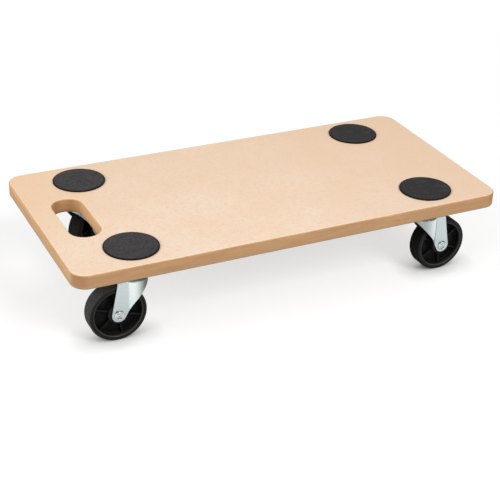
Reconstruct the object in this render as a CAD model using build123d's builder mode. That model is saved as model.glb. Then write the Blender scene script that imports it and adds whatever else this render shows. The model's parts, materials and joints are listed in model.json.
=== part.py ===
"""Roller dolly: a fibreboard deck with a hand slot and four pressed-steel swivel casters.

Millimetres, +Z up. The origin is on the floor under the middle of the deck. The deck's
length lies along X, and the hand slot is at its -X end, which is the front when the dolly
is pulled. Each caster is drawn once in its own frame, with the kingpin on the Z axis, the
floor at zero and the axle trailing towards +X, and is then placed at the four corners.
"""

import os
from math import cos, radians, sin, tan

from build123d import *

# Deck
deck_length = 590.0
deck_width = 290.0
deck_thickness = 19.0
deck_corner_radius = 20.0
deck_edge_radius = 2.0

# Hand slot, measured along the deck from its front end to the slot's middle
slot_length = 108.0
slot_width = 40.0
slot_setback = 50.0

# Rubber pads on the deck, with their middles set in from its ends and sides
pad_diameter = 69.0
pad_thickness = 2.0
pad_edge_radius = 0.6
pad_inset_x = 87.0
pad_inset_y = 47.0

# Casters under the deck, with their kingpins set in from its ends and sides
caster_height = 99.0
caster_inset_x = 87.0
caster_inset_y = 41.5
caster_trail = 24.0

# Where each caster points at rest, from the kingpin to the axle, and how far its wheel has rolled
swivel_angles = {"front_left": 180.0, "front_right": 28.0, "rear_left": 1.5, "rear_right": 14.0}
wheel_angles = {"front_left": 42.0, "front_right": 0.0, "rear_left": 26.0, "rear_right": 25.0}
corner_sides = {"front_left": (-1, -1), "front_right": (-1, 1), "rear_left": (1, -1), "rear_right": (1, 1)}

# Top plate, pressed down in the middle into a hollow boss, and its screws
plate_size = 60.0
plate_thickness = 2.5
plate_corner_radius = 6.0
boss_diameter = 32.0
boss_height = 9.0
boss_taper = 24.0
boss_bend_radius = 2.5
screw_spacing = 45.0
screw_diameter = 4.5
screw_depth = 12.0
screw_tip_length = 3.0
screw_tip_diameter = 0.9
screw_head_diameter = 8.6
screw_head_height = 2.6
screw_head_radius = 1.6
screw_hole_clearance = 0.6
screw_pilot_clearance = 0.05

# Swivel bearing: two rows of balls, one above the fork's crown and one below it
upper_ball_diameter = 5.0
upper_ball_circle = 23.0
upper_ball_count = 12
lower_ball_diameter = 4.5
lower_ball_circle = 18.0
lower_ball_count = 12
race_depth = 0.6
race_openness = 0.2
ball_clearance = 0.1

# Kingpin, countersunk in the boss's floor and riveted over the lower race
kingpin_diameter = 10.0
kingpin_hole_clearance = 1.0
kingpin_top_diameter = 14.0
kingpin_top_angle = 90.0
kingpin_head_diameter = 16.0
kingpin_head_height = 2.6
kingpin_head_radius = 1.8
lower_race_diameter = 27.0
lower_race_thickness = 2.0
lower_race_lip_width = 1.6
lower_race_lip_height = 1.8

# Fork, pressed from sheet
fork_sheet = 2.0
crown_sheet = 2.5
crown_diameter = 35.0
crown_bend_radius = 4.0
crease_radius = 3.0
leg_end_radius = 9.3
leg_back_lean = 11.0
leg_front_slope = 68.0
wing_slope = 41.0
wing_setback = 6.0
wing_bend_radius = 12.0

# Wheel, moulded in one piece, and the room between it and the fork's crown
wheel_headroom = 6.1
wheel_width = 21.0
tread_shoulder_radius = 2.5
rim_thickness = 6.6
rim_lip_radius = 0.8
web_thickness = 4.0
web_fillet_radius = 1.5
hub_diameter = 26.0
hub_width = 22.0
hub_edge_radius = 1.0
rib_count = 6
rib_thickness = 2.0
rib_height = 4.0

# Axle: a hollow-ended rivet through a sleeve on which the wheel turns
axle_diameter = 8.0
axle_fit = 0.05
axle_head_diameter = 12.6
axle_head_height = 2.2
axle_head_radius = 1.0
axle_dimple_diameter = 4.6
axle_dimple_depth = 1.6
sleeve_diameter = 12.0
wheel_bore_fit = 0.07
wheel_end_play = 0.5

# Heights in a caster, up from the floor
plate_bottom = caster_height - plate_thickness
boss_bottom = plate_bottom - boss_height
boss_floor = boss_bottom + plate_thickness
upper_ball_height = boss_bottom + race_depth - upper_ball_diameter / 2
upper_ball_foot = upper_ball_height - upper_ball_diameter / 2
crown_top = upper_ball_foot - ball_clearance + race_depth
crown_bottom = crown_top - crown_sheet
wheel_diameter = crown_bottom - wheel_headroom
wheel_radius = wheel_diameter / 2
lower_ball_height = crown_bottom + race_depth - ball_clearance - lower_ball_diameter / 2
lower_race_top = lower_ball_height - lower_ball_diameter / 2 + race_depth
lower_race_bottom = lower_race_top - lower_race_thickness
kingpin_foot = lower_race_bottom - kingpin_head_height
kingpin_step = (kingpin_top_diameter - kingpin_diameter) / 2
kingpin_neck = boss_floor - kingpin_step / tan(radians(kingpin_top_angle / 2))

# Places on the deck
deck_top = caster_height + deck_thickness
slot_centre_x = slot_setback - deck_length / 2
pad_x = deck_length / 2 - pad_inset_x
pad_y = deck_width / 2 - pad_inset_y
caster_x = deck_length / 2 - caster_inset_x
caster_y = deck_width / 2 - caster_inset_y

# Widths across a caster, and how far the fork's blank runs back before it is trimmed
fork_inner_width = hub_width + 2 * wheel_end_play
fork_outer_width = fork_inner_width + 2 * fork_sheet
fork_reach = caster_trail + 2 * leg_end_radius
crown_radius = crown_diameter / 2
rim_inner_radius = wheel_radius - rim_thickness
wheel_bore_radius = sleeve_diameter / 2 + wheel_bore_fit
axle_end = fork_outer_width / 2 + axle_head_height


def corners(section, radius, height):
    """The corners of a section drawn about Y that lie at a radius, and at a height on either side."""
    near = 0.01
    ring = section.vertices().filter_by(lambda corner: abs(abs(corner.X) - radius) < near)
    return ring.filter_by(lambda corner: abs(abs(corner.Y) - height) < near)


def race(ball_diameter, ball_circle, face_height, above):
    """A ring that cuts a ball groove into a level face, which lies above or below the balls."""
    groove_radius = ball_diameter / 2 + race_openness
    rise = groove_radius - race_depth
    centre_height = face_height - rise if above else face_height + rise
    with BuildPart() as groove:
        with BuildSketch(Plane.XZ):
            with Locations((ball_circle / 2, centre_height)):
                Circle(groove_radius)
        revolve(axis=Axis.Z)
    return groove.part


def balls(diameter, circle, count, height):
    """A row of loose balls, one solid each."""
    with BuildPart() as row:
        with Locations((0, 0, height)):
            with PolarLocations(circle / 2, count):
                Sphere(diameter / 2)
    return row.part


def fork_blank(radius, width, crease, height, bend):
    """A block with the fork's plan, a round crown that runs into straight sides, bent over at the top."""
    with BuildPart() as blank:
        with BuildSketch() as plan:
            Circle(radius)
            with Locations((fork_reach / 2, 0)):
                Rectangle(fork_reach, width)
            fillet(plan.vertices().group_by(Axis.X)[0], crease)
        extrude(amount=height)
        fillet(blank.faces().sort_by(Axis.Z)[-1].edges(), bend)
    return blank.part


def fork_side():
    """The fork's side view: a rounded leg end, a leaning back edge and a front edge that flares to a wing."""
    lean = radians(leg_back_lean)
    slope = radians(leg_front_slope)
    leg_end_turn = leg_back_lean + 90 + leg_front_slope
    nose = -(crown_radius + fork_sheet)
    back = (caster_trail + leg_end_radius * cos(lean), wheel_radius + leg_end_radius * sin(lean))
    front = (caster_trail - leg_end_radius * sin(slope), wheel_radius - leg_end_radius * cos(slope))
    back_top = (back[0] - (caster_height - back[1]) * tan(lean), caster_height)
    wing = (wing_setback, front[1] + (front[0] - wing_setback) * tan(slope))
    front_top = (nose, wing[1] + (wing[0] - nose) * tan(radians(wing_slope)))
    with BuildSketch() as side:
        with BuildLine():
            CenterArc((caster_trail, wheel_radius), leg_end_radius, leg_back_lean, -leg_end_turn)
            Polyline(front, wing, front_top, (nose, caster_height), back_top, back)
        make_face()
        fillet(side.vertices().sort_by_distance(wing)[0], wing_bend_radius)
        with Locations((caster_trail, wheel_radius)):
            Circle(axle_diameter / 2 + axle_fit, mode=Mode.SUBTRACT)
    return side.sketch


# Deck board with its hand slot and the blind pilot holes for the caster screws
with BuildPart() as deck_board:
    with BuildSketch(Plane.XY.offset(caster_height)):
        RectangleRounded(deck_length, deck_width, deck_corner_radius)
        with Locations((slot_centre_x, 0)):
            SlotOverall(slot_length, slot_width, rotation=90, mode=Mode.SUBTRACT)
    extrude(amount=deck_thickness)
    rims = deck_board.edges().group_by(Axis.Z)
    fillet(rims[0] + rims[-1], deck_edge_radius)
    with BuildSketch(Plane.XY.offset(caster_height)):
        with GridLocations(2 * caster_x, 2 * caster_y, 2, 2):
            with GridLocations(screw_spacing, screw_spacing, 2, 2):
                Circle(screw_diameter / 2 + screw_pilot_clearance)
    extrude(amount=screw_depth + screw_pilot_clearance, mode=Mode.SUBTRACT)

# Rubber pad, drawn at the deck's middle
with BuildPart() as pad:
    with BuildSketch(Plane.XY.offset(deck_top)):
        Circle(pad_diameter / 2)
    extrude(amount=pad_thickness)
    fillet(pad.edges().group_by(Axis.Z)[-1], pad_edge_radius)

# Top plate: a rounded square with four screw holes, pressed down into a boss that carries the upper race
with BuildPart() as top_plate:
    with BuildSketch(Plane.XY.offset(plate_bottom)):
        RectangleRounded(plate_size, plate_size, plate_corner_radius)
        with GridLocations(screw_spacing, screw_spacing, 2, 2):
            Circle((screw_diameter + screw_hole_clearance) / 2, mode=Mode.SUBTRACT)
    extrude(amount=plate_thickness)
    with BuildSketch(Plane.XY.offset(boss_bottom)):
        Circle(boss_diameter / 2)
    extrude(amount=boss_height, taper=-boss_taper)
    boss_rings = top_plate.edges().filter_by(GeomType.CIRCLE).sort_by(SortBy.RADIUS)[-2:]
    fillet(boss_rings, boss_bend_radius)
    with BuildSketch(Plane.XY.offset(boss_floor)):
        Circle(boss_diameter / 2 - plate_thickness)
    extrude(amount=boss_height, taper=-boss_taper, mode=Mode.SUBTRACT)
    with Locations((0, 0, boss_floor)):
        CounterSinkHole(
            radius=kingpin_diameter / 2,
            counter_sink_radius=kingpin_top_diameter / 2,
            counter_sink_angle=kingpin_top_angle,
        )
    add(race(upper_ball_diameter, upper_ball_circle, boss_bottom, above=True), mode=Mode.SUBTRACT)

# Mounting screws of one caster: domed heads under the plate, pointed shanks in the deck
with BuildPart() as plate_screws:
    with BuildSketch(Plane.XY.offset(plate_bottom)):
        with GridLocations(screw_spacing, screw_spacing, 2, 2):
            Circle(screw_head_diameter / 2)
    extrude(amount=-screw_head_height)
    fillet(plate_screws.edges().group_by(Axis.Z)[0], screw_head_radius)
    with BuildSketch(Plane.XY.offset(plate_bottom)):
        with GridLocations(screw_spacing, screw_spacing, 2, 2):
            Circle(screw_diameter / 2)
    extrude(amount=plate_thickness + screw_depth)
    tip_step = (screw_diameter - screw_tip_diameter) / 2
    chamfer(plate_screws.edges().group_by(Axis.Z)[-1], screw_tip_length, tip_step)

# Balls
upper_balls = balls(upper_ball_diameter, upper_ball_circle, upper_ball_count, upper_ball_height)
lower_balls = balls(lower_ball_diameter, lower_ball_circle, lower_ball_count, lower_ball_height)

# Lower race: a lipped cup that carries the lower balls
with BuildPart() as lower_race:
    with BuildSketch(Plane.XY.offset(lower_race_bottom)):
        Circle(lower_race_diameter / 2)
        Circle(kingpin_diameter / 2, mode=Mode.SUBTRACT)
    extrude(amount=lower_race_thickness)
    with BuildSketch(Plane.XY.offset(lower_race_top)):
        Circle(lower_race_diameter / 2)
        Circle(lower_race_diameter / 2 - lower_race_lip_width, mode=Mode.SUBTRACT)
    extrude(amount=lower_race_lip_height)
    add(race(lower_ball_diameter, lower_ball_circle, lower_race_top, above=False), mode=Mode.SUBTRACT)

# Kingpin: flush in the boss's countersink, with a formed head below the lower race
with BuildPart() as kingpin:
    with BuildSketch(Plane.XZ) as section:
        with BuildLine():
            Polyline(
                (0, boss_floor),
                (kingpin_top_diameter / 2, boss_floor),
                (kingpin_diameter / 2, kingpin_neck),
                (kingpin_diameter / 2, lower_race_bottom),
                (kingpin_head_diameter / 2, lower_race_bottom),
                (kingpin_head_diameter / 2, kingpin_foot),
                (0, kingpin_foot),
                close=True,
            )
        make_face()
        fillet(corners(section, kingpin_head_diameter / 2, kingpin_foot), kingpin_head_radius)
    revolve(axis=Axis.Z)

# Fork: the pressed shell, trimmed to its side outline, with a race on each face of its crown
with BuildPart() as fork:
    add(fork_blank(crown_radius, fork_outer_width, crease_radius, crown_top, crown_bend_radius))
    add(
        fork_blank(
            crown_radius - fork_sheet,
            fork_inner_width,
            crease_radius + fork_sheet,
            crown_bottom,
            crown_bend_radius - fork_sheet,
        ),
        mode=Mode.SUBTRACT,
    )
    with BuildSketch(Plane.XZ):
        add(fork_side())
    extrude(amount=fork_outer_width, both=True, mode=Mode.INTERSECT)
    with Locations((0, 0, crown_top)):
        Hole(kingpin_diameter / 2 + kingpin_hole_clearance)
    add(race(upper_ball_diameter, upper_ball_circle, crown_top, above=False), mode=Mode.SUBTRACT)
    add(race(lower_ball_diameter, lower_ball_circle, crown_bottom, above=True), mode=Mode.SUBTRACT)

# Wheel, drawn on its own centre with the axle along Y: a rim, a web and a hub, then the ribs on both sides
with BuildPart() as wheel:
    with BuildSketch() as section:
        with Locations((wheel_radius - rim_thickness / 2, 0)):
            Rectangle(rim_thickness, wheel_width)
        with Locations((wheel_bore_radius, 0)):
            Rectangle(rim_inner_radius - wheel_bore_radius, web_thickness, align=(Align.MIN, Align.CENTER))
            Rectangle(hub_diameter / 2 - wheel_bore_radius, hub_width, align=(Align.MIN, Align.CENTER))
        fillet(corners(section, wheel_radius, wheel_width / 2), tread_shoulder_radius)
        fillet(corners(section, rim_inner_radius, wheel_width / 2), rim_lip_radius)
        fillet(corners(section, rim_inner_radius, web_thickness / 2), web_fillet_radius)
        fillet(corners(section, hub_diameter / 2, web_thickness / 2), web_fillet_radius)
        fillet(corners(section, hub_diameter / 2, hub_width / 2), hub_edge_radius)
    revolve(axis=Axis.Y)
    with BuildSketch(Plane.XZ):
        with PolarLocations((hub_diameter / 2 + rim_inner_radius) / 2, rib_count):
            Rectangle(rim_inner_radius - hub_diameter / 2 + rib_thickness, rib_thickness)
    extrude(amount=web_thickness / 2 + rib_height, both=True)

# Sleeve between the fork's legs, on which the wheel turns
with BuildPart() as axle_sleeve:
    with BuildSketch(Plane.XZ):
        Circle(sleeve_diameter / 2)
        Circle(axle_diameter / 2 + axle_fit, mode=Mode.SUBTRACT)
    extrude(amount=fork_inner_width / 2, both=True)

# Axle rivet: both ends are rolled over the legs round a shallow dimple
with BuildPart() as axle:
    with BuildSketch() as section:
        Rectangle(axle_diameter, fork_outer_width + 2 * axle_head_height)
        with GridLocations(0, fork_outer_width + axle_head_height, 1, 2):
            Rectangle(axle_head_diameter, axle_head_height)
        with GridLocations(0, 2 * axle_end - axle_dimple_depth, 1, 2):
            Rectangle(axle_dimple_diameter, axle_dimple_depth, mode=Mode.SUBTRACT)
        fillet(corners(section, axle_head_diameter / 2, axle_end), axle_head_radius)
        fillet(corners(section, axle_dimple_diameter / 2, axle_end), axle_head_radius)
        split(bisect_by=Plane.YZ)
    revolve(axis=Axis.Y)

# Every piece goes to its place and into its own file
os.makedirs("parts", exist_ok=True)


def write(name, shape, place):
    """Puts one copy of a shape at its place and writes it under its own name."""
    with BuildPart() as piece:
        with Locations(place):
            add(shape)
    piece.part.label = name
    export_step(piece.part, f"parts/{name}.step")


write("deck_board", deck_board.part, Location())
for corner, (side_x, side_y) in corner_sides.items():
    pad_place = Location((side_x * pad_x, side_y * pad_y, 0))
    fixed_place = Location((side_x * caster_x, side_y * caster_y, 0))
    fork_place = fixed_place * Location((0, 0, 0), (0, 0, swivel_angles[corner]))
    axle_place = fork_place * Location((caster_trail, 0, wheel_radius))
    wheel_place = axle_place * Location((0, 0, 0), (0, wheel_angles[corner], 0))
    write(f"{corner}_pad", pad.part, pad_place)
    write(f"{corner}_top_plate", top_plate.part, fixed_place)
    write(f"{corner}_plate_screws", plate_screws.part, fixed_place)
    write(f"{corner}_kingpin", kingpin.part, fixed_place)
    write(f"{corner}_upper_balls", upper_balls, fixed_place)
    write(f"{corner}_lower_balls", lower_balls, fixed_place)
    write(f"{corner}_lower_race", lower_race.part, fixed_place)
    write(f"{corner}_fork", fork.part, fork_place)
    write(f"{corner}_axle", axle.part, axle_place)
    write(f"{corner}_axle_sleeve", axle_sleeve.part, axle_place)
    write(f"{corner}_wheel", wheel.part, wheel_place)
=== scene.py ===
"""Looks of the roller dolly: board, rubber pads, zinc-plated casters and black plastic wheels.

Metres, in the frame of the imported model: the floor is at zero, the deck's length lies along X and the
hand slot is at the -X end.
"""

import json
from math import cos, pi, radians, sin, sqrt
from typing import NamedTuple

import bpy
from mathutils import Matrix, Vector


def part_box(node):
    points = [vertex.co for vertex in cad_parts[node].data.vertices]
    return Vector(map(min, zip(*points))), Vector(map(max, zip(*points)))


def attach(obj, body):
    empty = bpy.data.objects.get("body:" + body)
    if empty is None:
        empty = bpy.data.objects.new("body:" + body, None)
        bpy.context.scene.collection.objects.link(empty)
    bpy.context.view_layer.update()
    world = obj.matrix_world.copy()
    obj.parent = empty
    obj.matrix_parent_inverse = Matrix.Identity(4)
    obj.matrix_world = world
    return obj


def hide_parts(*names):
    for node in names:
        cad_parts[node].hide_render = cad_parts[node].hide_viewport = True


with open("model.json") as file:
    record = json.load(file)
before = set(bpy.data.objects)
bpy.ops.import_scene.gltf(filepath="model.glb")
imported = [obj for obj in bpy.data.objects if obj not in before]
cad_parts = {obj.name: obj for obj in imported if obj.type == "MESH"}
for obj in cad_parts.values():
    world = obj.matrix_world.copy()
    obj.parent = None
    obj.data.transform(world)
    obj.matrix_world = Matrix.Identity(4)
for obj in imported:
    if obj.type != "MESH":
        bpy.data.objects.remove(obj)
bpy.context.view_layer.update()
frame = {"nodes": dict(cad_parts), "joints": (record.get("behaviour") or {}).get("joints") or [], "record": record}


class SoftBox(NamedTuple):
    """A square lamp that shines on the middle of the floor, given by the way that leads to it."""

    name: str
    direction: Vector
    size: float
    power: float


class ForkShade(NamedTuple):
    """How dark a fork's painted crease and nose shade is, and how far behind the kingpin the nose shade begins."""

    crease: float
    nose: float
    nose_start: float


CORNERS = ("front_left", "front_right", "rear_left", "rear_right")
MM = 0.001

# Camera: where it stands round the middle of the deck's top, and how far off that point it aims
CAMERA_AZIMUTH = radians(-26.264)
CAMERA_ELEVATION = radians(28.834)
CAMERA_ROLL = radians(1.844)
CAMERA_DISTANCE = 1.6640
CAMERA_AIM_RIGHT = -0.0032
CAMERA_AIM_UP = -0.0861
FOCAL_LENGTH = 90.19
SENSOR_WIDTH = 36.0

# Light: a level sky, how bright metal mirrors it, and soft boxes over the near side and beyond the slot
WHITE = (1, 1, 1, 1)
SKY_STRENGTH = 0.48
SKY_SHEEN = 0.9
BOX_DISTANCE = 5.0
BOXES = (
    SoftBox("near_box", Vector((0.30, -0.84, 0.80)), size=1.8, power=128.0),
    SoftBox("end_box", Vector((-0.87, -0.19, 0.50)), size=3.2, power=117.0),
)

# Floor: its matt colour, its glow, which rises to white far off, its mirrored glow and its painted contact shade
FLOOR_SIZE = 30.0
FLOOR_COLOUR = (0.42, 0.42, 0.42, 1)
FLOOR_GLOW = 0.63
FLOOR_NEAR = 0.8
FLOOR_FAR = 3.0
# Painted shade: the glow that metal mirrors fades where something stands over the floor
FLOOR_SHEEN = 0.56
SHEEN_REACH = 0.12
SHEEN_POWER = 2.0
CONTACT_REACH = 0.035
CONTACT_POWER = 1.3

# Surfaces: the depth of each relief, the samples that find crevices, and the angle that stays smooth
BOARD_RELIEF = 0.05 * MM
RUBBER_RELIEF = 0.08 * MM
ZINC_RELIEF = 0.015 * MM
WHEEL_RELIEF = 0.02 * MM
CREVICE_SAMPLES = 12
SMOOTH_ANGLE = radians(40)

# Board's face: how level the surface is where it begins, where painted shade darkens it, and its colours
FACE_START = 0.72
FACE_FULL = 0.9
# Spans of painted shade: along X to the far end, along Y to the far side, and at the slot end's far side
FAR_END = (0.0, 0.29)
FAR_SIDE = (-0.05, 0.145)
SLOT_END = (-0.29, -0.17)
SLOT_SIDE = (-0.10, 0.05)
FACE_TAN = (0.890, 0.670, 0.490, 1)
FACE_PALE = (0.915, 0.740, 0.595, 1)
FACE_BLOTCH = (0.87, 0.625, 0.43, 1)
FACE_SPECK = (0.80, 0.575, 0.40, 1)
FACE_GRAIN = (0.78, 0.565, 0.40, 1)
FACE_FIBRE = (0.60, 0.41, 0.26, 1)
# Painted shade: darker and browner towards the far end, the far side and the slot end's far corner
FACE_FAR_END_SHADE = (0.77, 0.535, 0.365, 1)
FACE_FAR_SIDE_SHADE = (0.80, 0.565, 0.380, 1)
FACE_SLOT_END_SHADE = (0.86, 0.575, 0.345, 1)

# Board's edge: the height of its foot, and its colours, with painted shade on its long sides and foot
EDGE_FOOT = 4.5 * MM
EDGE_BROWN = (0.78, 0.460, 0.235, 1)
EDGE_PALE = (0.88, 0.550, 0.300, 1)
EDGE_SMEAR = (0.55, 0.300, 0.135, 1)
EDGE_STREAK = (0.54, 0.300, 0.140, 1)
EDGE_NAP = (0.54, 0.30, 0.145, 1)
# Painted shade: the long sides darker and browner than the ends
EDGE_LONG_SIDE_SHADE = (0.40, 0.215, 0.095, 1)
EDGE_CORNER = (0.34, 0.172, 0.066, 1)
EDGE_LOWER = (0.46, 0.258, 0.120, 1)
# Painted shade and painted floor light: the rounded foot darker and greyer
EDGE_FOOT_SHADE_AND_LIGHT = (0.46, 0.325, 0.180, 1)

# Hand slot: how near its walls close in, how far in they stand, their foot's height, and painted shade and light
SLOT_REACH = 0.03
SLOT_MARGIN = 0.02
SLOT_FOOT = 6.0 * MM
# Painted shade on the slot's end walls and at their foot, and painted light on its long walls
SLOT_END_WALL_SHADE = (0.26, 0.115, 0.040, 1)
SLOT_FOOT_SHADE = (0.20, 0.090, 0.032, 1)
SLOT_LONG_WALL_LIGHT = (0.98, 0.595, 0.275, 1)

# Rubber pads: the rounding of the rim, its clean black edge, the steps of the mesh, and the colours
PAD_ROUND = 0.6 * MM
PAD_EDGE = 2.2 * MM
PAD_STEPS = 128
PAD_RINGS = 12
ARC_STEPS = 6
RUBBER_DARK = (0.024, 0.0215, 0.0225, 1)
RUBBER_DUSTY = (0.047, 0.043, 0.044, 1)
RUBBER_MOTTLE = (0.074, 0.067, 0.067, 1)
RUBBER_GRAIN = (0.066, 0.062, 0.063, 1)
# Darker towards the pads at the +X end
RUBBER_DARKER_END = (0.009, 0.0083, 0.0083, 1)
RUBBER_PALE_RUB = (0.070, 0.068, 0.070, 1)
RUBBER_DARK_RUB = (0.012, 0.011, 0.011, 1)
RUBBER_RIM = (0.008, 0.0045, 0.003, 1)

# Zinc plate: how near a surface is for dirt and painted shade to gather in crevices, and the colours
DIRT_AND_SHADE_REACH = 2.0 * MM
ZINC_DARK = (0.80, 0.89, 0.88)
ZINC_LIGHT = (0.91, 0.96, 0.945)
ZINC_BLUE = (0.78, 0.88, 0.93)
# Dirt and painted shade in crevices
ZINC_DIRT_AND_SHADE = (0.10, 0.105, 0.10, 1)
# Painted reflection: surfaces that face up darkened as if mirroring the board's dark underside
ZINC_UPWARD_REFLECTION = (0.08, 0.085, 0.08, 1)
# Painted shade in a fork's crease, towards its nose and on its legs
ZINC_CREASE_SHADE = (0.13, 0.14, 0.14, 1)
ZINC_NOSE_SHADE = (0.12, 0.125, 0.12, 1)
ZINC_LEG_SHADE = (0.55, 0.62, 0.63, 1)

# Fork: painted shade in its side's crease, on its leg and towards its nose, placed behind the kingpin, per fork
CREASE_PLACE = 11.1 * MM
CREASE_HALF = 1.1 * MM
CREASE_TOP = 79.0 * MM
CREASE_FADE = 2.0 * MM
LEG_SHADE = 0.80
NOSE_FULL = -10.5 * MM
FORK_SHADES = {
    "front_left": ForkShade(crease=0.15, nose=0.90, nose_start=6.0 * MM),
    "front_right": ForkShade(crease=0.4, nose=0.5, nose_start=5.0 * MM),
    "rear_left": ForkShade(crease=1.0, nose=0.62, nose_start=11.0 * MM),
    "rear_right": ForkShade(crease=0.4, nose=0.5, nose_start=5.0 * MM),
}

# Hood: its edge from leg to nose, as millimetres behind the kingpin and up, and how far it is drawn down
HOOD_EDGE = ((15.4, 34.0), (6.0, 57.2), (-14.0, 74.6))
HOOD_TOP = 79.0 * MM
HOOD_DROP = 5.5 * MM

# Axle ends: a rolled rim and a dish, as millimetres of radius and height, and their shade and dullness
RIVET_FACE = (
    (0.3, 0.85), (0.9, 0.9), (1.2, 1.2), (1.4, 1.6), (2.0, 1.6), (2.3, 1.4), (2.5, 0.9), (3.0, 0.7),
    (3.8, 0.8), (4.1, 1.3), (4.5, 2.0), (5.0, 2.2), (5.6, 2.0), (6.1, 1.5), (6.3, 0.9), (6.3, 0.0),
    (4.0, 0.0),
)
RIVET_TOP = 2.2 * MM
RIVET_STEPS = 48
RIVET_SHADE = 0.92
RIVET_DULLNESS = 0.1

# Caster screws: pan heads with a cross recess, threaded shanks, and how far each is turned, in degrees
SCREW_HEAD_RADIUS = 4.3 * MM
SCREW_HEAD_HEIGHT = 2.6 * MM
SCREW_HEAD_ROUND = 1.6 * MM
SCREW_CROSS_ARM = 2.3 * MM
SCREW_CROSS_WIDTH = 0.62 * MM
SCREW_CROSS_DEPTH = 1.4 * MM
SCREW_OUTER_RADIUS = 2.2 * MM
SCREW_CORE_RADIUS = 1.55 * MM
SCREW_TIP_RADIUS = 0.45 * MM
SCREW_TIP_LENGTH = 3.0 * MM
SCREW_PITCH = 1.9 * MM
SCREW_CREST_SLOPE = 4
SCREW_STEPS = 48
SCREW_HEAD_RINGS = 16
SCREW_THREAD_STEPS = 8
SCREW_SIDES = ((-1, -1), (-1, 1), (1, -1), (1, 1))
SCREW_TURNS = (12.0, 47.0, 73.0, 31.0)

# Balls: bright steel under grease
STEEL_BRIGHT = (0.62, 0.62, 0.61, 1)
STEEL_GREASED = (0.34, 0.31, 0.26, 1)

# Wheel: how far out its web, ribs and rim stand, its lip, tread, mould line and shade, colours and highlights
WHEEL_WEB = 2.2 * MM
WHEEL_RIB = 6.0 * MM
WHEEL_RIM = 10.2 * MM
WHEEL_LIP = 31.4 * MM
LIP_HALF = 1.1 * MM
TREAD_START = 35.4 * MM
TREAD_FULL = 36.9 * MM
MOULD_LINE = 0.25 * MM
MOULD_RISE = 4.0
WHEEL_REACH = 11.0 * MM
WHEEL_BLACK = (0.0010, 0.0010, 0.0010, 1)
WHEEL_FLOW = (0.0025, 0.0024, 0.0023, 1)
# Painted highlights: ribs, rim and the lip inside the rim lighter than the black body
RIB_HIGHLIGHT = (0.0095, 0.0093, 0.0090, 1)
RIM_HIGHLIGHT = (0.013, 0.0127, 0.0122, 1)
LIP_HIGHLIGHT = (0.055, 0.054, 0.052, 1)

# Tread: its scuffed colours, and each wheel's factor of dust and painted light
TREAD_DARK = (0.026, 0.0253, 0.024)
TREAD_PALE = (0.048, 0.0465, 0.044)
TREAD_DUST_AND_LIGHT = {"front_left": 1.35, "front_right": 0.3, "rear_left": 0.06, "rear_right": 0.3}


def new_material(name, **sockets):
    """A material whose main shader has these plain socket values."""
    material = bpy.data.materials.new(name)
    material.use_nodes = True
    shader = material.node_tree.nodes["Principled BSDF"]
    for socket, value in sockets.items():
        shader.inputs[socket.replace("_", " ")].default_value = value
    return material, shader


def add_node(owner, kind, inputs=None, **settings):
    """A node with its settings, and its inputs either linked or set."""
    node = owner.node_tree.nodes.new("ShaderNode" + kind)
    for setting, value in settings.items():
        setattr(node, setting, value)
    for key, value in (inputs or {}).items():
        if isinstance(value, bpy.types.NodeSocket):
            owner.node_tree.links.new(value, node.inputs[key])
        else:
            node.inputs[key].default_value = value
    return node


def link(owner, output, socket):
    """Joins one socket to another."""
    owner.node_tree.links.new(output, socket)


def rest_coordinates(material):
    """Coordinates in the model's own frame, which ride with each body."""
    return add_node(material, "TexCoord").outputs["Object"]


def rest_normal(material):
    """The surface's direction in the model's own frame."""
    return add_node(material, "TexCoord").outputs["Normal"]


def part_of(material, vector, axis):
    """One coordinate of a vector."""
    return add_node(material, "SeparateXYZ", {0: vector}).outputs[axis]


def noise(material, place, scale, detail=3.0, roughness=0.55, stretch=(1, 1, 1)):
    """Even noise about 0.5, with the size of its grains set by the scale per metre."""
    mapping = add_node(material, "Mapping", {"Vector": place, "Scale": stretch})
    return add_node(
        material, "TexNoise",
        {"Vector": mapping.outputs["Vector"], "Scale": scale, "Detail": detail, "Roughness": roughness},
    ).outputs["Fac"]


def remap(material, value, low, high, out_low=0.0, out_high=1.0, smooth=False):
    """A value stretched from one span to another, held at its ends."""
    return add_node(
        material, "MapRange",
        {"Value": value, "From Min": low, "From Max": high, "To Min": out_low, "To Max": out_high},
        interpolation_type="SMOOTHSTEP" if smooth else "LINEAR",
    ).outputs["Result"]


def math(owner, operation, first, second=0.0):
    """One sum of two values."""
    return add_node(owner, "Math", {0: first, 1: second}, operation=operation).outputs["Value"]


def vector_sum(material, operation, first, second=(0, 0, 0)):
    """One sum of two vectors, given as the node's plain number or its vector."""
    node = add_node(material, "VectorMath", {0: first, 1: second}, operation=operation)
    return node.outputs["Value" if operation in ("LENGTH", "DOT_PRODUCT") else "Vector"]


def blend_colours(material, factor, first, second):
    """A mix of two colours."""
    node = add_node(material, "Mix", data_type="RGBA")
    sockets = {socket.identifier: socket for socket in node.inputs}
    wanted = {"Factor_Float": factor, "A_Color": first, "B_Color": second}
    for identifier, value in wanted.items():
        if isinstance(value, bpy.types.NodeSocket):
            link(material, value, sockets[identifier])
        else:
            sockets[identifier].default_value = value
    return [output for output in node.outputs if output.type == "RGBA"][0]


def cover(material, colour, layers):
    """A colour with others laid over it in turn, each as thick as its mask."""
    for mask, layer in layers:
        colour = blend_colours(material, mask, colour, layer)
    return colour


def tinted(colour, factor):
    """A colour times a factor, with its alpha added."""
    return (*(factor * part for part in colour), 1)


def crevices(owner, reach):
    """1 in the open, down to 0 where other surfaces close in within a reach."""
    return add_node(owner, "AmbientOcclusion", {"Distance": reach}, samples=CREVICE_SAMPLES).outputs["AO"]


def raise_surface(material, shader, height, depth):
    """Relief of a given depth in metres."""
    bump = add_node(material, "Bump", {"Height": height, "Distance": depth, "Strength": 1.0})
    link(material, bump.outputs["Normal"], shader.inputs["Normal"])


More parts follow.
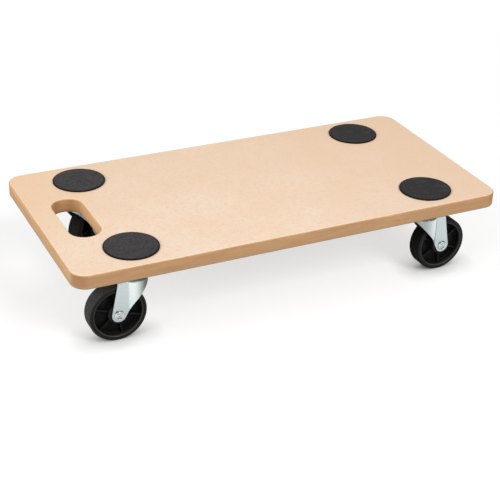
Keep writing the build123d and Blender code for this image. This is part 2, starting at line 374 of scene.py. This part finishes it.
def board_face(material, place, grain):
    """The face's colour: clouds, blotches, specks, fibres, and browner painted shade at both ends and far side."""
    x = part_of(material, place, "X")
    y = part_of(material, place, "Y")
    clouds = noise(material, place, 11.0, detail=4.0)
    blotches = noise(material, place, 55.0, detail=3.0)
    specks = noise(material, place, 210.0, detail=2.0)
    fibres = noise(material, place, 900.0, detail=2.0, stretch=(0.35, 1.0, 1.0))
    # Painted shade at the slot end, on the far side only
    slot_end_shade = remap(material, x, *SLOT_END, 0.55, 0.0)
    slot_end_shade = math(material, "MULTIPLY", slot_end_shade, remap(material, y, *SLOT_SIDE))
    face = blend_colours(material, remap(material, clouds, 0.32, 0.68), FACE_TAN, FACE_PALE)
    return cover(material, face, (
        (remap(material, blotches, 0.45, 0.75, 0.0, 0.40), FACE_BLOTCH),
        (remap(material, specks, 0.48, 0.72, 0.0, 0.50), FACE_SPECK),
        (remap(material, grain, 0.35, 0.75, 0.0, 0.35), FACE_GRAIN),
        (remap(material, fibres, 0.64, 0.8, 0.0, 0.5), FACE_FIBRE),
        # Painted shade towards the far end and the far side, and at the slot end
        (remap(material, x, *FAR_END, 0.0, 0.6), FACE_FAR_END_SHADE),
        (remap(material, y, *FAR_SIDE, 0.0, 0.45), FACE_FAR_SIDE_SHADE),
        (slot_end_shade, FACE_SLOT_END_SHADE),
    ))


def board_edge(material, place, nap):
    """The edge's colour: patches, streaks, browner corners, and painted shade and light on its sides, foot and
    slot.
    """
    deck_low, deck_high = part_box("deck_board")
    height = part_of(material, place, "Z")
    normal = rest_normal(material)
    along = math(material, "ABSOLUTE", part_of(material, normal, "X"))
    across = math(material, "ABSOLUTE", part_of(material, normal, "Y"))
    corner = math(material, "MULTIPLY", along, across)
    patches = noise(material, place, 16.0, detail=3.0, stretch=(1.0, 1.0, 2.5))
    streaks = noise(material, place, 70.0, detail=4.0, roughness=0.6, stretch=(0.30, 0.30, 8.0))
    smears = noise(material, place, 34.0, detail=2.0, stretch=(0.7, 0.7, 5.0))

    # Painted shade on the slot's end walls where its walls close in, and more of it lower down
    closed = remap(material, crevices(material, SLOT_REACH), 0.45, 0.92, 0.85, 0.0)
    end_wall_shade = math(material, "MULTIPLY", closed, remap(material, along, 0.5, 1.0, 1.0, 0.0))
    shaded = remap(material, height, deck_low.z, deck_high.z, 1.1, 0.75)
    inward = vector_sum(material, "SUBTRACT", tuple(deck_high), vector_sum(material, "ABSOLUTE", place))
    inward = math(material, "MINIMUM", part_of(material, inward, "X"), part_of(material, inward, "Y"))
    within = remap(material, inward, SLOT_MARGIN / 2, SLOT_MARGIN)
    # Painted shade at the foot of the slot's walls, and painted light on its long walls
    slot_foot_shade = remap(material, height, deck_low.z, deck_low.z + SLOT_FOOT, 0.75, 0.0, smooth=True)
    long_wall_light = remap(material, along, 0.55, 1.0, 0.0, 0.32)

    edge = blend_colours(material, remap(material, patches, 0.35, 0.65), EDGE_BROWN, EDGE_PALE)
    return cover(material, edge, (
        (remap(material, smears, 0.46, 0.66, 0.0, 0.55), EDGE_SMEAR),
        (remap(material, streaks, 0.44, 0.66, 0.0, 0.75), EDGE_STREAK),
        (remap(material, nap, 0.4, 0.75, 0.0, 0.35), EDGE_NAP),
        # Painted shade on the long sides
        (math(material, "MULTIPLY", across, 0.52), EDGE_LONG_SIDE_SHADE),
        (remap(material, corner, 0.10, 0.45, 0.0, 0.68), EDGE_CORNER),
        (remap(material, height, deck_low.z, deck_high.z, 0.50, 0.0), EDGE_LOWER),
        # Painted shade and floor light on the rounded foot
        (remap(material, height, deck_low.z, deck_low.z + EDGE_FOOT, 0.85, 0.0), EDGE_FOOT_SHADE_AND_LIGHT),
        (math(material, "MULTIPLY", end_wall_shade, shaded), SLOT_END_WALL_SHADE),
        (math(material, "MULTIPLY", within, slot_foot_shade), SLOT_FOOT_SHADE),
        (math(material, "MULTIPLY", within, long_wall_light), SLOT_LONG_WALL_LIGHT),
    ))


def fibreboard():
    """Sanded board: a pale face and a browner edge."""
    material, shader = new_material("fibreboard", Specular_IOR_Level=0.35)
    place = rest_coordinates(material)
    level = math(material, "ABSOLUTE", part_of(material, rest_normal(material), "Z"))
    facing = remap(material, level, FACE_START, FACE_FULL, smooth=True)
    grain = noise(material, place, 420.0, detail=4.0, roughness=0.7)
    nap = noise(material, place, 700.0, detail=3.0, roughness=0.7)
    edge = board_edge(material, place, nap)
    face = board_face(material, place, grain)
    link(material, blend_colours(material, facing, edge, face), shader.inputs["Base Color"])
    link(material, remap(material, nap, 0.3, 0.7, 0.55, 0.72), shader.inputs["Roughness"])
    raise_surface(material, shader, math(material, "ADD", grain, nap), BOARD_RELIEF)
    return material


def rubber(middle, radius):
    """Moulded rubber: charcoal and dusty on top, clean and black on the rim.

    The four pads mirror each other, so the middle of one, with its signs dropped, serves them all.
    """
    material, shader = new_material("rubber", Specular_IOR_Level=0.16)
    place = rest_coordinates(material)
    folded = vector_sum(material, "ABSOLUTE", place)
    folded = vector_sum(material, "SUBTRACT", folded, (middle.x, middle.y, 0))
    reach = vector_sum(material, "LENGTH", vector_sum(material, "MULTIPLY", folded, (1, 1, 0)))
    inside = remap(material, reach, radius - PAD_EDGE, radius - PAD_EDGE / 2, 1.0, 0.0, smooth=True)
    dust = noise(material, place, 90.0, detail=5.0, roughness=0.65)
    mottle = noise(material, place, 430.0, detail=3.0)
    grain = noise(material, place, 800.0, detail=3.0)
    rubs = noise(material, place, 75.0, detail=4.0, roughness=0.6, stretch=(0.6, 2.4, 1.0))
    # Darker towards the +X end of the deck
    darker_end = remap(material, part_of(material, place, "X"), -middle.x, middle.x, 0.0, 0.62)
    top = blend_colours(material, remap(material, dust, 0.35, 0.65), RUBBER_DARK, RUBBER_DUSTY)
    top = cover(material, top, (
        (remap(material, mottle, 0.45, 0.68, 0.0, 0.8), RUBBER_MOTTLE),
        (remap(material, grain, 0.5, 0.8, 0.0, 0.5), RUBBER_GRAIN),
        (darker_end, RUBBER_DARKER_END),
        (remap(material, rubs, 0.54, 0.72, 0.0, 0.45), RUBBER_PALE_RUB),
        (remap(material, rubs, 0.30, 0.44, 0.35, 0.0), RUBBER_DARK_RUB),
    ))
    link(material, blend_colours(material, inside, RUBBER_RIM, top), shader.inputs["Base Color"])
    link(material, remap(material, dust, 0.3, 0.7, 0.68, 0.86), shader.inputs["Roughness"])
    raise_surface(material, shader, grain, RUBBER_RELIEF)
    return material


def fork_shading(material, place, colour, kingpin, heading, shades):
    """A fork's colour: painted shade along the creases of its sides, towards its nose and on its legs."""
    behind = vector_sum(material, "SUBTRACT", place, kingpin)
    behind = vector_sum(material, "DOT_PRODUCT", behind, heading)
    off = math(material, "ABSOLUTE", math(material, "SUBTRACT", behind, CREASE_PLACE))
    crease = remap(material, off, 0.0, CREASE_HALF, shades.crease, 0.0, smooth=True)
    height = part_of(material, place, "Z")
    below = remap(material, height, CREASE_TOP, CREASE_TOP + CREASE_FADE, 1.0, 0.0)
    nose = remap(material, behind, NOSE_FULL, shades.nose_start, shades.nose, 0.0, smooth=True)
    leg = remap(material, behind, CREASE_PLACE, CREASE_PLACE + CREASE_HALF, 0.0, LEG_SHADE)
    return cover(material, colour, (
        (math(material, "MULTIPLY", crease, below), ZINC_CREASE_SHADE),
        (nose, ZINC_NOSE_SHADE),
        (leg, ZINC_LEG_SHADE),
    ))


def zinc(name, shade=1.0, dullness=0.0, kingpin=None, heading=None, shades=None):
    """Bright zinc on pressed steel: pale, a little blue, soft uneven sheen, dirt and painted shade in crevices.

    A fork is given by its kingpin and the way that it points, and has shades of its own.
    """
    material, shader = new_material(name, Metallic=1.0)
    place = rest_coordinates(material)
    clouds = noise(material, place, 120.0, detail=4.0, stretch=(1.0, 1.0, 0.35))
    spangle = noise(material, place, 45.0, detail=2.0)
    grain = noise(material, place, 1500.0, detail=2.0)
    upward = part_of(material, rest_normal(material), "Z")
    colour = blend_colours(
        material, remap(material, clouds, 0.3, 0.7), tinted(ZINC_DARK, shade), tinted(ZINC_LIGHT, shade)
    )
    colour = cover(material, colour, (
        (remap(material, spangle, 0.5, 0.72, 0.0, 0.35), tinted(ZINC_BLUE, shade)),
        # Dirt and painted shade where surfaces close in
        (remap(material, crevices(material, DIRT_AND_SHADE_REACH), 0.25, 0.8, 0.85, 0.0), ZINC_DIRT_AND_SHADE),
        # Painted reflection of the board's dark underside where a surface faces up
        (remap(material, upward, 0.15, 0.65, 0.0, 0.85), ZINC_UPWARD_REFLECTION),
    ))
    if kingpin:
        colour = fork_shading(material, place, colour, kingpin, heading, shades)
    link(material, colour, shader.inputs["Base Color"])
    sheen = remap(material, clouds, 0.3, 0.7, 0.22 + dullness, 0.30 + dullness)
    sheen = math(material, "ADD", sheen, remap(material, grain, 0.3, 0.7, 0.0, 0.06))
    link(material, sheen, shader.inputs["Roughness"])
    raise_surface(material, shader, grain, ZINC_RELIEF)
    return material


def bearing_steel():
    """Polished balls under a film of grease."""
    material, shader = new_material("bearing_steel", Metallic=1.0)
    grease = noise(material, rest_coordinates(material), 400.0, detail=3.0)
    colour = blend_colours(material, remap(material, grease, 0.4, 0.65), STEEL_BRIGHT, STEEL_GREASED)
    link(material, colour, shader.inputs["Base Color"])
    link(material, remap(material, grease, 0.4, 0.65, 0.12, 0.34), shader.inputs["Roughness"])
    return material


def wheel_plastic(corner, centre, axis):
    """Moulded black plastic with faint flow marks: a soft gloss at the sides and a duller tread."""
    material, shader = new_material(corner + "_wheel_plastic", Specular_IOR_Level=0.11)
    place = rest_coordinates(material)
    offset = vector_sum(material, "SUBTRACT", place, centre)
    out = math(material, "ABSOLUTE", vector_sum(material, "DOT_PRODUCT", offset, axis))
    reach = vector_sum(material, "LENGTH", vector_sum(material, "CROSS_PRODUCT", offset, axis))
    flow = noise(material, place, 60.0, detail=5.0, roughness=0.6)
    scuffs = noise(material, place, 260.0, detail=5.0, roughness=0.7)
    grain = noise(material, place, 1300.0, detail=2.0)
    tread = remap(material, reach, TREAD_START, TREAD_FULL, smooth=True)
    rim = remap(material, out, WHEEL_RIB, WHEEL_RIM)
    lip = math(material, "ABSOLUTE", math(material, "SUBTRACT", reach, WHEEL_LIP))
    lip = remap(material, lip, 0.0, LIP_HALF, 1.0, 0.0, smooth=True)
    body = blend_colours(material, remap(material, flow, 0.3, 0.7), WHEEL_BLACK, WHEEL_FLOW)
    # Painted highlights on the ribs, the rim and its lip
    body = cover(material, body, (
        (remap(material, out, WHEEL_WEB, WHEEL_RIB, smooth=True), RIB_HIGHLIGHT),
        (rim, RIM_HIGHLIGHT),
        (math(material, "MULTIPLY", lip, rim), LIP_HIGHLIGHT),
    ))
    # Dust and painted light: each wheel's tread lighter or darker by how much light reaches it
    dust = TREAD_DUST_AND_LIGHT[corner]
    worn_and_lit = blend_colours(
        material, remap(material, scuffs, 0.40, 0.70), tinted(TREAD_DARK, dust), tinted(TREAD_PALE, dust)
    )
    link(material, blend_colours(material, tread, body, worn_and_lit), shader.inputs["Base Color"])
    gloss = remap(material, flow, 0.3, 0.7, 0.20, 0.32)
    closed = remap(material, crevices(material, WHEEL_REACH), 0.5, 0.95, 0.50, 0.0)
    dull = math(material, "MAXIMUM", remap(material, tread, 0.0, 1.0, 0.0, 0.45), closed)
    link(material, math(material, "ADD", gloss, dull), shader.inputs["Roughness"])
    line = remap(material, out, 0.0, MOULD_LINE, 1.0, 0.0, smooth=True)
    ridge = math(material, "MULTIPLY", math(material, "MULTIPLY", line, tread), MOULD_RISE)
    raise_surface(material, shader, math(material, "ADD", grain, ridge), WHEEL_RELIEF)
    return material


def place_piece(name, mesh, body, node):
    """Puts a mesh in the place of a node of the model, riding on the node's body."""
    piece = bpy.data.objects.new(name, mesh)
    bpy.context.scene.collection.objects.link(piece)
    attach(piece, body)
    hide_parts(node)


def add_piece(name, points, faces, body, node, material):
    """A mesh of these points and faces that stands for a node of the model."""
    mesh = bpy.data.meshes.new(name)
    mesh.from_pydata(points, [], faces)
    mesh.validate()
    mesh.shade_smooth()
    mesh.set_sharp_from_angle(angle=SMOOTH_ANGLE)
    mesh.materials.append(material)
    place_piece(name, mesh, body, node)


def skin(count, steps):
    """Faces over a number of points, in rows that each go once round, with both ends closed."""
    faces = []
    for start in range(0, count - steps, steps):
        for i in range(steps):
            j = (i + 1) % steps
            faces.append((start + i, start + j, start + steps + j, start + steps + i))
    faces.append(tuple(range(steps))[::-1])
    faces.append(tuple(range(count - steps, count)))
    return faces


def lathe(centre, axis, profile, steps):
    """Points and faces of a profile, given as radius and height, turned about an axis, with flat ends."""
    side = axis.orthogonal().normalized()
    other = axis.cross(side)
    points = [
        tuple(centre + axis * height + reach * (side * cos(turn) + other * sin(turn)))
        for reach, height in profile
        for turn in (2 * pi * i / steps for i in range(steps))
    ]
    return points, skin(len(points), steps)


def make_pads():
    """Rubber discs with a rounded rim, flat on the board."""
    low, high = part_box("rear_right_pad")
    radius = (high.x - low.x) / 2
    flat = radius - PAD_ROUND
    material = rubber((low + high) / 2, radius)
    arc = [i * pi / 2 / ARC_STEPS for i in range(ARC_STEPS + 1)]
    for corner in CORNERS:
        low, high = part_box(corner + "_pad")
        middle = (low + high) / 2
        profile = [(radius - PAD_ROUND / 2, low.z), (radius, low.z + PAD_ROUND / 2)]
        profile += [
            (radius - PAD_ROUND * (1 - cos(turn)), high.z - PAD_ROUND * (1 - sin(turn))) for turn in arc
        ]
        profile += [(flat * (1 - i / PAD_RINGS), high.z) for i in range(1, PAD_RINGS)]
        below = Vector((middle.x, middle.y, 0))
        points, faces = lathe(below, Vector((0, 0, 1)), profile, PAD_STEPS)
        add_piece(corner + "_pad_rubber", points, faces, "deck", corner + "_pad", material)


def make_rivets(material, rolls):
    """Axles with both ends rolled over into a dished rim."""
    for corner, (centre, axis) in rolls.items():
        node = corner + "_axle"
        vertices = frame["nodes"][node].data.vertices
        half = max(abs((vertex.co - centre).dot(axis)) for vertex in vertices)
        upper = [(reach * MM, half - RIVET_TOP + height * MM) for reach, height in RIVET_FACE]
        profile = [(reach, -height) for reach, height in upper] + upper[::-1]
        points, faces = lathe(centre, axis, profile, RIVET_STEPS)
        body = corner + "_caster_fork"
        add_piece(corner + "_axle_rivet", points, faces, body, node, material)


def hood_stretch(behind, height):
    """How far a point of a fork is drawn down, so that the hood's lower edge runs straighter."""
    foot, bend, nose = (Vector(point) * MM for point in HOOD_EDGE)
    if not nose.x < behind < foot.x or height > HOOD_TOP:
        return 0.0
    end = foot if behind > bend.x else nose
    share = (behind - end.x) / (bend.x - end.x)
    edge = end.y + share * (bend.y - end.y)
    return HOOD_DROP * share * (HOOD_TOP - height) / (HOOD_TOP - edge)


def make_fork(corner, kingpin, heading):
    """A fork whose hood comes down lower between its nose and its legs."""
    node = corner + "_fork"
    mesh = frame["nodes"][node].data.copy()
    for vertex in mesh.vertices:
        vertex.co.z -= hood_stretch((vertex.co - kingpin).dot(heading), vertex.co.z)
    place_piece(corner + "_pressed_fork", mesh, corner + "_caster_fork", node)


def cross_recess(x, y):
    """How deep a screw's cross is cut at a point: full in the middle and shallow at the ends of its arms."""
    depth = 0.0
    for along, beside in ((x, y), (y, x)):
        if abs(beside) < SCREW_CROSS_WIDTH and abs(along) < SCREW_CROSS_ARM:
            depth = max(depth, SCREW_CROSS_DEPTH * (1 - (along / SCREW_CROSS_ARM) ** 2))
    return depth


def screw(place, turn, seat, tip):
    """Points and faces of one screw: its head hangs below the seat and its thread runs up to the tip."""
    angles = [2 * pi * i / SCREW_STEPS for i in range(SCREW_STEPS)]
    crown_reach = SCREW_HEAD_RADIUS - SCREW_HEAD_ROUND
    bottom = seat - SCREW_HEAD_HEIGHT
    points = []
    for row in range(1, SCREW_HEAD_RINGS + 1):
        reach = SCREW_HEAD_RADIUS * row / SCREW_HEAD_RINGS
        rounding = max(0.0, reach - crown_reach)
        rise = SCREW_HEAD_ROUND - sqrt(max(0.0, SCREW_HEAD_ROUND ** 2 - rounding ** 2))
        for angle in angles:
            x = reach * cos(angle)
            y = reach * sin(angle)
            points.append((x, y, bottom + rise + cross_recess(x, y)))

    thread_top = tip - SCREW_TIP_LENGTH
    rows = int((thread_top - seat) / SCREW_PITCH * SCREW_THREAD_STEPS)
    stations = [(SCREW_HEAD_RADIUS, seat, 0.0)]
    stations += [(SCREW_CORE_RADIUS, seat + (thread_top - seat) * i / rows, 1.0) for i in range(rows + 1)]
    stations.append((SCREW_TIP_RADIUS, tip, 0.0))
    for reach, height, cut in stations:
        for i, angle in enumerate(angles):
            phase = (height / SCREW_PITCH - i / SCREW_STEPS) % 1.0
            crest = cut * max(0.0, 1 - abs(phase - 0.5) * SCREW_CREST_SLOPE)
            out = reach + crest * (SCREW_OUTER_RADIUS - SCREW_CORE_RADIUS)
            points.append((out * cos(angle), out * sin(angle), height))

    spin = Matrix.Translation(place) @ Matrix.Rotation(turn, 4, "Z")
    return [tuple(spin @ Vector(point)) for point in points], skin(len(points), SCREW_STEPS)


def make_screws(material):
    """Four screws with cross recesses under each caster's plate."""
    for corner in CORNERS:
        node = corner + "_plate_screws"
        low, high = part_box(node)
        middle = (low + high) / 2
        spread = (high.x - low.x) / 2 - SCREW_HEAD_RADIUS
        points, faces = [], []
        for turn, (side_x, side_y) in zip(SCREW_TURNS, SCREW_SIDES):
            place = Vector((middle.x + side_x * spread, middle.y + side_y * spread, 0))
            more_points, more_faces = screw(place, radians(turn), low.z + SCREW_HEAD_HEIGHT, high.z)
            faces += [tuple(len(points) + i for i in face) for face in more_faces]
            points += more_points
        add_piece(corner + "_cross_screws", points, faces, "deck", node, material)


def paint(name, material):
    """Gives a node of the model its material."""
    mesh = frame["nodes"][name].data
    mesh.materials.clear()
    mesh.materials.append(material)


def dress_nodes():
    """Nodes take their slot's material, each wheel and fork one of its own, and finer pieces replace some."""
    plated = zinc("zinc")
    finishes = {"fibreboard": fibreboard(), "zinc_plated_steel": plated, "bearing_steel": bearing_steel()}
    for subpart in frame["record"]["subparts"]:
        if subpart["material_slot"] in finishes:
            paint(subpart["node"], finishes[subpart["material_slot"]])
    joints = {joint["name"]: (Vector(joint["pos_m"]), Vector(joint["axis"])) for joint in frame["joints"]}
    rolls = {corner: joints[corner + "_roll"] for corner in CORNERS}
    for corner, (centre, axis) in rolls.items():
        kingpin = joints[corner + "_swivel"][0]
        heading = Vector((centre.x - kingpin.x, centre.y - kingpin.y, 0)).normalized()
        paint(corner + "_wheel", wheel_plastic(corner, centre, axis))
        plate = zinc(corner + "_fork_zinc", kingpin=kingpin, heading=heading, shades=FORK_SHADES[corner])
        paint(corner + "_fork", plate)
        make_fork(corner, kingpin, heading)
    make_pads()
    make_rivets(zinc("rivet_zinc", shade=RIVET_SHADE, dullness=RIVET_DULLNESS), rolls)
    make_screws(plated)


def make_camera():
    """The camera at the photograph's viewing angle."""
    low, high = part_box("deck_board")
    middle = Vector(((low.x + high.x) / 2, (low.y + high.y) / 2, high.z))
    back = Vector((
        sin(CAMERA_AZIMUTH) * cos(CAMERA_ELEVATION),
        -cos(CAMERA_AZIMUTH) * cos(CAMERA_ELEVATION),
        sin(CAMERA_ELEVATION),
    ))
    level = Vector((cos(CAMERA_AZIMUTH), sin(CAMERA_AZIMUTH), 0))
    rise = back.cross(level)
    right = cos(CAMERA_ROLL) * level + sin(CAMERA_ROLL) * rise
    up = cos(CAMERA_ROLL) * rise - sin(CAMERA_ROLL) * level
    aim = middle + CAMERA_AIM_RIGHT * right + CAMERA_AIM_UP * up
    camera = bpy.data.objects.new("camera", bpy.data.cameras.new("camera"))
    camera.data.sensor_width = SENSOR_WIDTH
    camera.data.lens = FOCAL_LENGTH
    turn = Matrix((right, up, back)).transposed().to_4x4()
    camera.matrix_world = Matrix.Translation(aim + CAMERA_DISTANCE * back) @ turn
    bpy.context.scene.collection.objects.link(camera)
    bpy.context.scene.camera = camera


def make_floor():
    """A pale floor that keeps the dolly's shadow, has painted contact shade in its glow, and is clear from below.
    """
    bpy.ops.mesh.primitive_plane_add(size=FLOOR_SIZE)
    floor = bpy.context.object
    floor.name = "floor"
    material = bpy.data.materials.new("floor")
    material.use_nodes = True
    material.node_tree.nodes.clear()
    path = add_node(material, "LightPath").outputs
    # Painted contact shadow: the glow dims where something stands near or touches the floor
    contact_shade = math(material, "POWER", crevices(material, CONTACT_REACH), CONTACT_POWER)
    away = vector_sum(material, "LENGTH", rest_coordinates(material))
    level = remap(material, away, FLOOR_NEAR, FLOOR_FAR, FLOOR_GLOW, 1.0, smooth=True)
    seen = math(material, "MULTIPLY", math(material, "MULTIPLY", path["Is Camera Ray"], contact_shade), level)
    # Painted shade in what metal mirrors: the glow fades under the deck
    shaded = math(material, "POWER", crevices(material, SHEEN_REACH), SHEEN_POWER)
    shaded = math(material, "MULTIPLY", shaded, FLOOR_SHEEN)
    mirrored = math(material, "MULTIPLY", path["Is Glossy Ray"], shaded)
    glow = add_node(material, "Emission", {"Strength": math(material, "ADD", seen, mirrored)})
    matt = add_node(material, "BsdfDiffuse", {"Color": FLOOR_COLOUR})
    both = add_node(material, "AddShader", {0: matt.outputs[0], 1: glow.outputs[0]})
    behind = add_node(material, "NewGeometry").outputs["Backfacing"]
    clear = add_node(material, "BsdfTransparent")
    either = add_node(material, "MixShader", {0: behind, 1: both.outputs[0], 2: clear.outputs[0]})
    add_node(material, "OutputMaterial", {"Surface": either.outputs[0]})
    floor.data.materials.append(material)


def make_light():
    """A level sky that looks white, and two soft boxes."""
    world = bpy.data.worlds.new("studio")
    bpy.context.scene.world = world
    world.use_nodes = True
    path = add_node(world, "LightPath").outputs
    mirrored = remap(world, path["Is Glossy Ray"], 0.0, 1.0, SKY_STRENGTH, SKY_SHEEN)
    strength = math(world, "MAXIMUM", path["Is Camera Ray"], mirrored)
    background = world.node_tree.nodes["Background"]
    background.inputs["Color"].default_value = WHITE
    link(world, strength, background.inputs["Strength"])
    for box in BOXES:
        lamp = bpy.data.objects.new(box.name, bpy.data.lights.new(box.name, "AREA"))
        lamp.data.size = box.size
        lamp.data.energy = box.power
        lamp.location = box.direction.normalized() * BOX_DISTANCE
        lamp.rotation_euler = box.direction.to_track_quat("Z", "Y").to_euler()
        bpy.context.scene.collection.objects.link(lamp)


dress_nodes()
make_camera()
make_floor()
make_light()
bpy.context.scene.view_settings.view_transform = "Standard"
